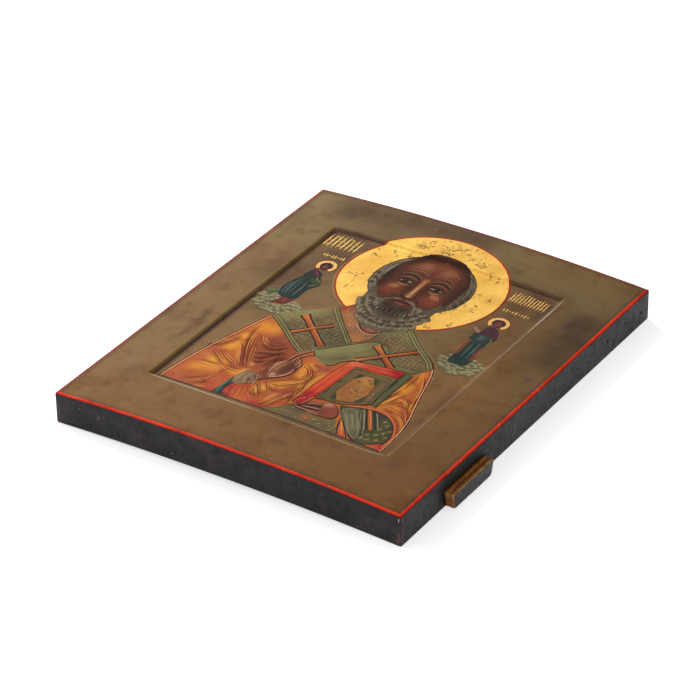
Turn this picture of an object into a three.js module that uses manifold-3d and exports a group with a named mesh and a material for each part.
import * as THREE from "three";
import { mergeVertices } from "three/addons/utils/BufferGeometryUtils.js";
import Module from "manifold-3d";

// A painted icon panel of three glued boards, with two tapered dovetail battens sliding in its back.
// It lies on its back: +X is the picture's right, +Y its top, +Z faces the viewer. Millimetres.

const wasm = await Module();
wasm.setup();

// The panel
const panelWidth = 260;
const panelHeight = 310;
const woodEdgeThickness = 20.85;
const frontBow = 4.25;
const backBow = 3.25;
const cornerRadius = 1.6;
const leftBoardWidth = 84;
const rightBoardWidth = 88;
const bowSteps = 12;
const cornerSteps = 4;

// The recessed picture field, by its margins
const leftMargin = 38;
const rightMargin = 40;
const topMargin = 43;
const bottomMargin = 48;
const recessDepth = 2.3;
const recessSlope = 2.6;

// The two battens, each entering from one side, and their grooves
const battenThickness = 11.2;
const battenWideEnd = 48;
const battenNarrowEnd = 40;
const battenFlare = 1.7;
const battenFromEdge = 50;
const battenProud = 6.5;
const battenStopShort = 14;
const battenCornerWide = 3.5;
const battenCornerHigh = 2.5;
const grooveClearance = 0.3;
const grooveHeadroom = 1.5;
const grooveEndClearance = 1.5;

// Nail holes in the right side: height above the back, and distance from the top side
const nailHoleRadius = 1.1;
const nailHoleDepth = 7;
const nailHoleSides = 8;
const upperNailHeight = 10;
const upperNailFromTop = 11;
const lowerNailHeight = 12.2;
const lowerNailFromTop = 57;

// Coats on the boards
const coatGap = 0.05;
const linenThickness = 0.3;
const gessoThickness = 0.9;
const groundThickness = 0.25;
const coatThickness = 0.2;
const sideSkin = 0.25;
const sideSkinRise = 0.3;
const borderWidth = 2.1;
const borderInset = 0.3;
const pieceGap = 0.3;
const overrun = 5;
const mergeTolerance = 1e-4;
const axesPerPoint = 3;
const halfTurn = 180;

// The large halo and the two small ones
const haloRadius = 57.3;
const haloRingWidth = 1.3;
const smallHaloRadius = 7.2;
const smallHaloRingWidth = 2.6;
const smallHeadRadius = 3.6;
const circleSteps = 48;
const smallCircleSteps = 20;
const crossArmWidth = 3.6;
const ornamentBarWidth = 1.3;
const ornamentRuleWidth = 1.2;
const ornamentBars = 9;

// Derived places
const halfWidth = panelWidth / 2;
const halfHeight = panelHeight / 2;
const fieldLeft = leftMargin - halfWidth;
const fieldRight = halfWidth - rightMargin;
const fieldBottom = bottomMargin - halfHeight;
const fieldTop = halfHeight - topMargin;
const fieldWidth = fieldRight - fieldLeft;
const fieldHeight = fieldTop - fieldBottom;
const leftSeam = leftBoardWidth - halfWidth;
const rightSeam = halfWidth - rightBoardWidth;
const linenLow = coatGap;
const linenHigh = linenLow + linenThickness;
const gessoLow = linenHigh + coatGap;
const gessoHigh = gessoLow + gessoThickness;
const groundLow = gessoHigh + coatGap;
const groundHigh = groundLow + groundThickness;
const coatPitch = coatThickness + coatGap;
const battenLength = panelWidth - battenStopShort + battenProud;
const cutDepth = woodEdgeThickness + frontBow + groundHigh + panelHeight;

// A closed geometry as a solid, and back
function solidFrom(geometry) {
  const bare = geometry.clone();
  bare.deleteAttribute("normal");
  bare.deleteAttribute("uv");
  const merged = mergeVertices(bare, mergeTolerance);
  return new wasm.Manifold(
    new wasm.Mesh({
      numProp: axesPerPoint,
      vertProperties: merged.attributes.position.array,
      triVerts: new Uint32Array(merged.index.array),
    }),
  );
}

function geometryFrom(solid) {
  const mesh = solid.getMesh();
  const geometry = new THREE.BufferGeometry();
  geometry.setAttribute("position", new THREE.BufferAttribute(mesh.vertProperties, mesh.numProp));
  geometry.setIndex(new THREE.BufferAttribute(mesh.triVerts, 1));
  return geometry;
}

function solidFromFaces(points, faces) {
  const geometry = new THREE.BufferGeometry();
  geometry.setAttribute("position", new THREE.Float32BufferAttribute(points, axesPerPoint));
  geometry.setIndex(faces);
  return solidFrom(geometry);
}

// Stations across and up the panel, so that every layer bends along the same lines
function sorted(values) {
  const rising = [...values].sort((a, b) => a - b);
  return rising.filter((value, i) => i === 0 || value - rising[i - 1] > coatGap);
}

const bowStations = Array.from({ length: bowSteps + 1 }, (_, i) => (i / bowSteps) * panelWidth - halfWidth);
const stationsX = sorted([
  ...bowStations,
  fieldLeft,
  fieldLeft + recessSlope,
  fieldRight - recessSlope,
  fieldRight,
  leftSeam,
  rightSeam,
]);
const stationsY = sorted([
  -halfHeight,
  fieldBottom,
  fieldBottom + recessSlope,
  fieldTop - recessSlope,
  fieldTop,
  halfHeight,
]);

// The bow is full at the middle of the width and nothing at the sides
const bowShare = (x) => 1 - (x / halfWidth) ** 2;

// The recess is full inside its slopes and nothing on the margins
function recessShare(x, y) {
  const across = Math.min(x - fieldLeft, fieldRight - x);
  const up = Math.min(y - fieldBottom, fieldTop - y);
  return THREE.MathUtils.clamp(Math.min(across, up) / recessSlope, 0, 1);
}

const woodFront = (x, y) => woodEdgeThickness + frontBow * bowShare(x) - recessDepth * recessShare(x, y);
const woodBack = (x) => backBow * bowShare(x);

// A closed slab between two height functions over a grid of stations
function slab(xs, ys, low, high) {
  const points = [];
  for (const height of [low, high]) {
    for (const y of ys) {
      for (const x of xs) {
        points.push(x, y, height(x, y));
      }
    }
  }
  const across = xs.length;
  const layer = across * ys.length;
  const faces = [];
  const quad = (a, b, c, d) => faces.push(a, b, c, a, c, d);
  for (let j = 0; j < ys.length - 1; j++) {
    for (let i = 0; i < across - 1; i++) {
      const a = j * across + i;
      const b = a + across;
      quad(a + layer, a + 1 + layer, b + 1 + layer, b + layer);
      quad(a, b, b + 1, a + 1);
    }
  }
  for (let i = 0; i < across - 1; i++) {
    const top = (ys.length - 1) * across + i;
    quad(i, i + 1, i + 1 + layer, i + layer);
    quad(top + 1, top, top + layer, top + 1 + layer);
  }
  for (let j = 0; j < ys.length - 1; j++) {
    const left = j * across;
    const right = left + across - 1;
    quad(left + across, left, left + layer, left + across + layer);
    quad(right, right + across, right + across + layer, right + layer);
  }
  return solidFromFaces(points, faces);
}

// A layer that follows the stepped front of the boards, between two heights above the wood
function frontLayer(low, high) {
  const bottom = (x, y) => woodFront(x, y) + low;
  const top = (x, y) => woodFront(x, y) + high;
  return slab(stationsX, stationsY, bottom, top);
}

// An upright prism through the whole panel
function prism(shape) {
  const geometry = new THREE.ExtrudeGeometry(shape, { depth: cutDepth, bevelEnabled: false });
  geometry.translate(0, 0, -overrun);
  return solidFrom(geometry);
}

function roundedOutline(inset) {
  const x = halfWidth - inset;
  const y = halfHeight - inset;
  const r = Math.max(cornerRadius - inset, coatGap);
  const shape = new THREE.Shape();
  const corners = [
    [x - r, y - r],
    [r - x, y - r],
    [r - x, r - y],
    [x - r, r - y],
  ];
  corners.forEach(([cx, cy], quarter) => {
    for (let step = 0; step <= cornerSteps; step++) {
      const angle = ((quarter + step / cornerSteps) * Math.PI) / 2;
      const px = cx + r * Math.cos(angle);
      const py = cy + r * Math.sin(angle);
      if (quarter + step === 0) shape.moveTo(px, py);
      else shape.lineTo(px, py);
    }
  });
  return shape;
}

const boxShape = (x0, x1, y0, y1) =>
  new THREE.Shape([
    new THREE.Vector2(x0, y0),
    new THREE.Vector2(x1, y0),
    new THREE.Vector2(x1, y1),
    new THREE.Vector2(x0, y1),
  ]);

// Places in the picture are shares of the field's width and height from its lower left corner
const fieldX = (share) => fieldLeft + share * fieldWidth;
const fieldY = (share) => fieldBottom + share * fieldHeight;

function outline(shares) {
  return new THREE.Shape(shares.map(([across, up]) => new THREE.Vector2(fieldX(across), fieldY(up))));
}

function disc([across, up], radius, steps) {
  const shape = new THREE.Shape();
  shape.absarc(fieldX(across), fieldY(up), radius, 0, 2 * Math.PI);
  return new THREE.Shape(shape.getPoints(steps).slice(0, -1));
}

function oval([across, up], [wide, high], steps) {
  const shape = new THREE.Shape();
  shape.absellipse(fieldX(across), fieldY(up), wide * fieldWidth, high * fieldHeight, 0, 2 * Math.PI);
  return new THREE.Shape(shape.getPoints(steps).slice(0, -1));
}

// A straight bar of one width between two places
function bar([fromAcross, fromUp], [toAcross, toUp], width) {
  const from = new THREE.Vector2(fieldX(fromAcross), fieldY(fromUp));
  const to = new THREE.Vector2(fieldX(toAcross), fieldY(toUp));
  const side = to.clone().sub(from).normalize().multiplyScalar(width / 2);
  const turned = new THREE.Vector2(-side.y, side.x);
  return new THREE.Shape([
    from.clone().sub(turned),
    to.clone().sub(turned),
    to.clone().add(turned),
    from.clone().add(turned),
  ]);
}

const joined = (shapes) => shapes.map(prism).reduce((all, next) => all.add(next));

// The batten's section at one end: narrow at the back, wider inside the board
function section(width, clearance, above, below) {
  const slope = battenFlare / battenThickness;
  const half = width / 2 + clearance;
  const topHalf = half + slope * above;
  const lowHalf = half - slope * (battenThickness + below);
  return [
    [-lowHalf, -below],
    [lowHalf, -below],
    [topHalf, battenThickness + above],
    [-topHalf, battenThickness + above],
  ];
}

// A tapered bar along X between two sections of the same number of corners
function tapered(x0, ring0, x1, ring1) {
  const points = [];
  ring0.forEach(([y, z]) => points.push(x0, y, z));
  ring1.forEach(([y, z]) => points.push(x1, y, z));
  const sides = ring0.length;
  const faces = [];
  for (let i = 0; i < sides; i++) {
    const next = (i + 1) % sides;
    faces.push(i, next, sides + next, i, sides + next, sides + i);
  }
  for (let i = 1; i < sides - 1; i++) {
    faces.push(0, i + 1, i);
    faces.push(sides, sides + i, sides + i + 1);
  }
  return solidFromFaces(points, faces);
}

const battenWidthAt = (x) => {
  const wideX = halfWidth + battenProud;
  return battenWideEnd + ((battenNarrowEnd - battenWideEnd) * (wideX - x)) / battenLength;
};
const narrowEndX = battenStopShort - halfWidth;
const wideEndX = halfWidth + battenProud;

// What is cut from the far lower corner of the end that stands out
function battenCorner() {
  const lowHalf = battenWideEnd / 2 - battenFlare;
  const cutWide = battenCornerWide + (battenFlare * battenCornerHigh) / battenThickness;
  const cutStart = lowHalf - battenCornerWide;
  const ring = [
    [cutStart - cutWide, -battenCornerHigh],
    [lowHalf + overrun, -overrun],
    [cutStart + cutWide + cutWide, battenCornerHigh + battenCornerHigh],
  ];
  return tapered(halfWidth + sideSkin, ring, wideEndX + overrun, ring);
}

function battenSolid(fromX, toX) {
  const fromRing = section(battenWidthAt(fromX), 0, 0, 0);
  const toRing = section(battenWidthAt(toX), 0, 0, 0);
  return tapered(fromX, fromRing, toX, toRing).subtract(battenCorner());
}

function grooveSolid() {
  const fromX = narrowEndX - grooveEndClearance;
  const toX = wideEndX + overrun;
  const fromRing = section(battenWidthAt(fromX), grooveClearance, grooveHeadroom, overrun);
  const toRing = section(battenWidthAt(toX), grooveClearance, grooveHeadroom, overrun);
  return tapered(fromX, fromRing, toX, toRing);
}

// The lower batten enters from the right, the upper one from the left
const battenY = halfHeight - battenFromEdge - battenWideEnd / 2;
const lowerPlace = (solid) => solid.translate([0, -battenY, 0]);
const upperPlace = (solid) => solid.rotate([0, 0, halfTurn]).translate([0, battenY, 0]);
const lowerGroove = lowerPlace(grooveSolid());
const upperGroove = upperPlace(grooveSolid());

function nailHole(height, fromTop) {
  const hole = new THREE.CylinderGeometry(nailHoleRadius, nailHoleRadius, 2 * nailHoleDepth, nailHoleSides);
  hole.rotateZ(Math.PI / 2);
  hole.translate(halfWidth, halfHeight - fromTop, height);
  return solidFrom(hole);
}

const upperNailHole = nailHole(upperNailHeight, upperNailFromTop);
const lowerNailHole = nailHole(lowerNailHeight, lowerNailFromTop);
const nailHoles = upperNailHole.add(lowerNailHole);

// Finishes: colour, roughness, metalness
const bareWood = new THREE.MeshStandardMaterial({ color: 0x9a6b3c, roughness: 0.8, metalness: 0 });
const battenWood = new THREE.MeshStandardMaterial({ color: 0x9c5a24, roughness: 0.7, metalness: 0 });
const linenCloth = new THREE.MeshStandardMaterial({ color: 0xcdbf9f, roughness: 0.95, metalness: 0 });
const gessoWhite = new THREE.MeshStandardMaterial({ color: 0xe6dcc2, roughness: 0.9, metalness: 0 });
const sidePaint = new THREE.MeshStandardMaterial({ color: 0x2f2e2c, roughness: 0.6, metalness: 0 });
const goldLeaf = new THREE.MeshStandardMaterial({ color: 0xe8b94f, roughness: 0.4, metalness: 0.9 });
const tempera = (color) => new THREE.MeshStandardMaterial({ color, roughness: 0.5, metalness: 0 });
const groundColour = tempera(0x8a6b45);
const redLine = tempera(0xd0342a);
const robeOrange = tempera(0xc46a2c);
const robeShade = tempera(0x8f4a34);
const tealGreen = tempera(0x33504a);
const crimson = tempera(0xa33428);
const oliveGreen = tempera(0x6b6746);
const paleGreen = tempera(0x86834f);
const ochre = tempera(0xa5763c);
const fleshBrown = tempera(0x6b3a2c);
const hairGrey = tempera(0x857a6a);
const cloudGreen = tempera(0xa59c7c);
const veilPurple = tempera(0x5a3a44);
const ornamentGold = tempera(0xcfa24e);

const icon = new THREE.Group();
const battenLower = new THREE.Group();
const battenUpper = new THREE.Group();
icon.add(battenLower, battenUpper);

function addPiece(name, solid, material, group = icon) {
  const mesh = new THREE.Mesh(geometryFrom(solid), material);
  mesh.name = name;
  group.add(mesh);
}

// The boards, glued edge to edge
const panelOutline = prism(roundedOutline(sideSkin + coatGap));
const boardEdges = [-halfWidth, leftSeam, rightSeam, halfWidth];
["board_left", "board_centre", "board_right"].forEach((name, i) => {
  const xs = stationsX.filter((x) => x >= boardEdges[i] && x <= boardEdges[i + 1]);
  const blank = slab(xs, stationsY, woodBack, woodFront);
  const shaped = blank.intersect(panelOutline).subtract(lowerGroove).subtract(upperGroove);
  addPiece(name, shaped.subtract(nailHoles), bareWood);
});

// The battens and the paint on their wide ends
function addBatten(name, place, group) {
  const paintFrom = wideEndX - sideSkin;
  addPiece(name, place(battenSolid(narrowEndX, paintFrom - coatGap)), battenWood, group);
  addPiece(name + "_end_paint", place(battenSolid(paintFrom, wideEndX)), sidePaint, group);
}

addBatten("batten_lower", lowerPlace, battenLower);
addBatten("batten_upper", upperPlace, battenUpper);

// Linen, gesso and ground colour over the whole front
const cloth = frontLayer(linenLow, linenHigh);
const gesso = frontLayer(gessoLow, gessoHigh);
const ground = frontLayer(groundLow, groundHigh);
addPiece("linen_canvas", cloth.intersect(panelOutline), linenCloth);
addPiece("gesso_ground", gesso.intersect(panelOutline), gessoWhite);
addPiece("ground_colour", ground.intersect(panelOutline), groundColour);

// The dark paint on the four sides, with room for the battens and the nail holes
const skinTop = (x, y) => woodFront(x, y) + groundHigh;
const skinBottom = () => sideSkinRise;
const skinBlock = slab(stationsX, stationsY, skinBottom, skinTop);
const skinRing = skinBlock
  .intersect(prism(roundedOutline(0)))
  .subtract(prism(roundedOutline(sideSkin)))
  .subtract(lowerGroove)
  .subtract(upperGroove)
  .subtract(nailHoles);
const cornerX = halfWidth - cornerRadius;
const middleX = cornerX - coatGap;
const reachX = halfWidth + overrun;
const reachY = halfHeight + overrun;
const sides = [
  ["side_paint_right", boxShape(cornerX, reachX, -reachY, reachY)],
  ["side_paint_left", boxShape(-reachX, -cornerX, -reachY, reachY)],
  ["side_paint_top", boxShape(-middleX, middleX, 0, reachY)],
  ["side_paint_bottom", boxShape(-middleX, middleX, -reachY, 0)],
];
for (const [name, zone] of sides) {
  addPiece(name, skinRing.intersect(prism(zone)), sidePaint);
}

// The red line round the front edge
const borderOuter = sideSkin + coatGap + borderInset;
const borderInner = borderOuter + borderWidth;
const borderRing = prism(roundedOutline(borderOuter)).subtract(prism(roundedOutline(borderInner)));

// The large halo and its red ring, cut where the head comes before them
const haloShare = [0.492, 0.852];
const haloDisc = prism(disc(haloShare, haloRadius, circleSteps));
const ringOuter = prism(disc(haloShare, haloRadius + pieceGap + haloRingWidth, circleSteps));
const ringInner = prism(disc(haloShare, haloRadius + pieceGap, circleSteps));

// The robe's outline, from the lower left corner round to the right
const robeShares = [
  [0.04, 0.015],
  [0.955, 0.015],
  [0.957, 0.07],
  [0.95, 0.14],
  [0.935, 0.21],
  [0.91, 0.27],
  [0.89, 0.34],
  [0.87, 0.4],
  [0.845, 0.455],
  [0.81, 0.49],
  [0.72, 0.545],
  [0.645, 0.61],
  [0.335, 0.605],
  [0.25, 0.55],
  [0.145, 0.46],
  [0.12, 0.39],
  [0.095, 0.31],
  [0.07, 0.215],
  [0.05, 0.12],
  [0.036, 0.05],
];
const robeFoldShares = [
  [0.2, 0.345],
  [0.25, 0.22],
  [0.34, 0.18],
  [0.36, 0.3],
  [0.31, 0.345],
  [0.27, 0.385],
];
const leftBandShares = [
  [0.335, 0.603],
  [0.24, 0.54],
  [0.148, 0.457],
  [0.25, 0.395],
  [0.32, 0.34],
  [0.375, 0.315],
  [0.43, 0.362],
  [0.505, 0.45],
  [0.44, 0.505],
  [0.385, 0.55],
];
const rightBandShares = [
  [0.545, 0.5],
  [0.56, 0.56],
  [0.6, 0.598],
  [0.645, 0.608],
  [0.72, 0.543],
  [0.81, 0.488],
  [0.833, 0.465],
  [0.8, 0.4],
  [0.64, 0.385],
  [0.57, 0.372],
  [0.6, 0.42],
  [0.6, 0.48],
];
const stoleDropShares = [
  [0.415, 0.362],
  [0.505, 0.452],
  [0.56, 0.5],
  [0.6, 0.485],
  [0.635, 0.435],
  [0.575, 0.375],
  [0.51, 0.325],
  [0.45, 0.32],
];
const stoleEndShares = [
  [0.7, 0.15],
  [0.77, 0.18],
  [0.84, 0.19],
  [0.9, 0.165],
  [0.94, 0.1],
  [0.943, 0.06],
  [0.91, 0.032],
  [0.85, 0.025],
  [0.79, 0.04],
  [0.73, 0.085],
];
const stoleHangShares = [
  [0.772, 0.395],
  [0.772, 0.2],
  [0.797, 0.195],
  [0.8, 0.395],
];
const collarShares = [
  [0.34, 0.603],
  [0.37, 0.645],
  [0.41, 0.6],
  [0.46, 0.552],
  [0.557, 0.552],
  [0.543, 0.5],
  [0.507, 0.455],
  [0.443, 0.508],
  [0.388, 0.553],
];
const bookEdgeShares = [
  [0.565, 0.37],
  [0.61, 0.385],
  [0.7, 0.4],
  [0.765, 0.403],
  [0.765, 0.36],
  [0.605, 0.35],
  [0.595, 0.25],
  [0.585, 0.15],
  [0.57, 0.095],
  [0.54, 0.105],
  [0.545, 0.15],
  [0.555, 0.28],
];
const bookCoverShares = [
  [0.608, 0.347],
  [0.765, 0.357],
  [0.765, 0.2],
  [0.72, 0.172],
  [0.65, 0.158],
  [0.59, 0.15],
  [0.6, 0.26],
];
const bookPanelShares = [
  [0.645, 0.325],
  [0.735, 0.33],
  [0.735, 0.205],
  [0.645, 0.18],
];
const holdingHandShares = [
  [0.64, 0.146],
  [0.675, 0.146],
  [0.7, 0.13],
  [0.722, 0.1],
  [0.7, 0.068],
  [0.66, 0.07],
  [0.555, 0.08],
  [0.562, 0.105],
  [0.6, 0.13],
];
const blessingHandShares = [
  [0.355, 0.17],
  [0.345, 0.21],
  [0.355, 0.25],
  [0.37, 0.3],
  [0.4, 0.355],
  [0.425, 0.36],
  [0.44, 0.33],
  [0.435, 0.29],
  [0.44, 0.24],
  [0.42, 0.19],
  [0.385, 0.16],
];
const cuffShares = [
  [0.285, 0.165],
  [0.335, 0.178],
  [0.347, 0.13],
  [0.34, 0.108],
  [0.3, 0.092],
  [0.27, 0.12],
];
const sleeveLiningShares = [
  [0.27, 0.115],
  [0.292, 0.09],
  [0.275, 0.06],
  [0.302, 0.018],
  [0.257, 0.018],
  [0.262, 0.06],
];
const innerSleeveShares = [
  [0.298, 0.088],
  [0.345, 0.102],
  [0.355, 0.07],
  [0.36, 0.018],
  [0.307, 0.018],
  [0.282, 0.06],
];
const hemTriangleShares = [
  [0.735, 0.1],
  [0.78, 0.055],
  [0.812, 0.025],
  [0.775, 0.02],
  [0.757, 0.045],
];
const headShare = [0.495, 0.83];
const headSizeShare = [0.165, 0.175];
const hairShare = [0.493, 0.84];
const hairSizeShare = [0.195, 0.172];
const templeShares = [
  [0.32, 0.76],
  [0.67, 0.76],
  [0.67, 0.94],
  [0.32, 0.94],
];
const beardShares = [
  [0.36, 0.76],
  [0.366, 0.69],
  [0.385, 0.635],
  [0.42, 0.59],
  [0.46, 0.563],
  [0.505, 0.553],
  [0.55, 0.563],
  [0.59, 0.59],
  [0.618, 0.64],
  [0.63, 0.7],
  [0.63, 0.76],
  [0.59, 0.71],
  [0.55, 0.685],
  [0.5, 0.68],
  [0.44, 0.685],
  [0.4, 0.71],
];

// The small side figures and their clouds
const leftHaloShare = [0.124, 0.79];
const leftRobeShares = [
  [0.1, 0.745],
  [0.14, 0.745],
  [0.182, 0.68],
  [0.165, 0.64],
  [0.155, 0.575],
  [0.095, 0.575],
  [0.07, 0.61],
  [0.08, 0.68],
];
const leftCloudShares = [
  [0.025, 0.56],
  [0.08, 0.568],
  [0.16, 0.568],
  [0.21, 0.54],
  [0.24, 0.52],
  [0.2, 0.49],
  [0.15, 0.475],
  [0.09, 0.48],
  [0.03, 0.5],
];
const rightHaloShare = [0.874, 0.781];
const rightVeilShares = [
  [0.862, 0.745],
  [0.895, 0.745],
  [0.918, 0.705],
  [0.84, 0.705],
];
const rightRobeShares = [
  [0.84, 0.7],
  [0.918, 0.7],
  [0.925, 0.66],
  [0.92, 0.6],
  [0.915, 0.565],
  [0.85, 0.565],
  [0.83, 0.64],
];
const rightCloudShares = [
  [0.81, 0.53],
  [0.86, 0.558],
  [0.93, 0.558],
  [0.972, 0.545],
  [0.975, 0.49],
  [0.92, 0.467],
  [0.86, 0.48],
];

// Corner ornaments: a row of upright leaves between two rules
const leftOrnamentShares = [
  [0.02, 0.9],
  [0.165, 0.975],
];
const rightOrnamentShares = [
  [0.82, 0.9],
  [0.965, 0.975],
];

function ornament([[left, bottom], [right, top]]) {
  const x0 = fieldX(left);
  const x1 = fieldX(right);
  const y0 = fieldY(bottom);
  const y1 = fieldY(top);
  const rules = [boxShape(x0, x1, y0, y0 + ornamentRuleWidth), boxShape(x0, x1, y1 - ornamentRuleWidth, y1)];
  const pitch = (x1 - x0 - ornamentBarWidth) / (ornamentBars - 1);
  for (let i = 0; i < ornamentBars; i++) {
    const x = x0 + i * pitch;
    rules.push(boxShape(x, x + ornamentBarWidth, y0, y1));
  }
  return joined(rules);
}

// A small halo is a ring, open below where the neck passes
function smallHalo(place) {
  const outer = prism(disc(place, smallHaloRadius, smallCircleSteps));
  return outer.subtract(prism(disc(place, smallHaloRadius - smallHaloRingWidth, smallCircleSteps)));
}

const smallHead = (place) => prism(disc(place, smallHeadRadius, smallCircleSteps));

// Each cross is two crossing bars
const leftCrossShares = [
  [
    [0.268, 0.508],
    [0.425, 0.39],
  ],
  [
    [0.375, 0.5],
    [0.29, 0.425],
  ],
];
const rightCrossShares = [
  [
    [0.592, 0.48],
    [0.71, 0.41],
  ],
  [
    [0.73, 0.515],
    [0.605, 0.4],
  ],
];
const cross = (bars) => joined(bars.map(([from, to]) => bar(from, to, crossArmWidth)));

const temples = prism(oval(hairShare, hairSizeShare, circleSteps)).intersect(prism(outline(templeShares)));

// The painting in the order of its making; each coat lies on the highest coat that it covers
const painting = [
  ["border_red", borderRing, redLine],
  ["halo_gold", haloDisc, goldLeaf],
  ["halo_ring_red", ringOuter.subtract(ringInner), redLine],
  ["ornament_left", ornament(leftOrnamentShares), ornamentGold],
  ["ornament_right", ornament(rightOrnamentShares), ornamentGold],
  ["cloud_left", prism(outline(leftCloudShares)), cloudGreen],
  ["cloud_right", prism(outline(rightCloudShares)), cloudGreen],
  ["side_halo_left", smallHalo(leftHaloShare), goldLeaf],
  ["side_halo_right", smallHalo(rightHaloShare), goldLeaf],
  ["side_head_left", smallHead(leftHaloShare), fleshBrown],
  ["side_head_right", smallHead(rightHaloShare), fleshBrown],
  ["side_robe_left", prism(outline(leftRobeShares)), tealGreen],
  ["side_robe_right", prism(outline(rightRobeShares)), tealGreen],
  ["side_veil_right", prism(outline(rightVeilShares)), veilPurple],
  ["robe", prism(outline(robeShares)), robeOrange],
  ["hair", temples, hairGrey],
  ["head", prism(oval(headShare, headSizeShare, circleSteps)), fleshBrown],
  ["sleeve_lining", prism(outline(sleeveLiningShares)), tealGreen],
  ["inner_sleeve", prism(outline(innerSleeveShares)), crimson],
  ["robe_fold", prism(outline(robeFoldShares)), robeShade],
  ["stole_band_left", prism(outline(leftBandShares)), oliveGreen],
  ["stole_band_right", prism(outline(rightBandShares)), oliveGreen],
  ["stole_drop", prism(outline(stoleDropShares)), paleGreen],
  ["stole_hang", prism(outline(stoleHangShares)), paleGreen],
  ["stole_end", prism(outline(stoleEndShares)), oliveGreen],
  ["collar", prism(outline(collarShares)), ochre],
  ["beard", prism(outline(beardShares)), hairGrey],
  ["cross_left", cross(leftCrossShares), robeOrange],
  ["cross_right", cross(rightCrossShares), robeOrange],
  ["book_edges", prism(outline(bookEdgeShares)), crimson],
  ["book_cover", prism(outline(bookCoverShares)), oliveGreen],
  ["book_panel", prism(outline(bookPanelShares)), ochre],
  ["cuff", prism(outline(cuffShares)), ochre],
  ["blessing_hand", prism(outline(blessingHandShares)), fleshBrown],
  ["holding_hand", prism(outline(holdingHandShares)), fleshBrown],
  ["hem_triangle", prism(outline(hemTriangleShares)), robeOrange],
];

const laid = [];
for (const [name, cutter, material] of painting) {
  const covered = laid.filter((coat) => !coat.cutter.intersect(cutter).isEmpty());
  const order = Math.max(0, ...covered.map((coat) => coat.order + 1));
  const low = groundHigh + coatGap + order * coatPitch;
  addPiece(name, frontLayer(low, low + coatThickness).intersect(cutter), material);
  laid.push({ cutter, order });
}

export default icon;
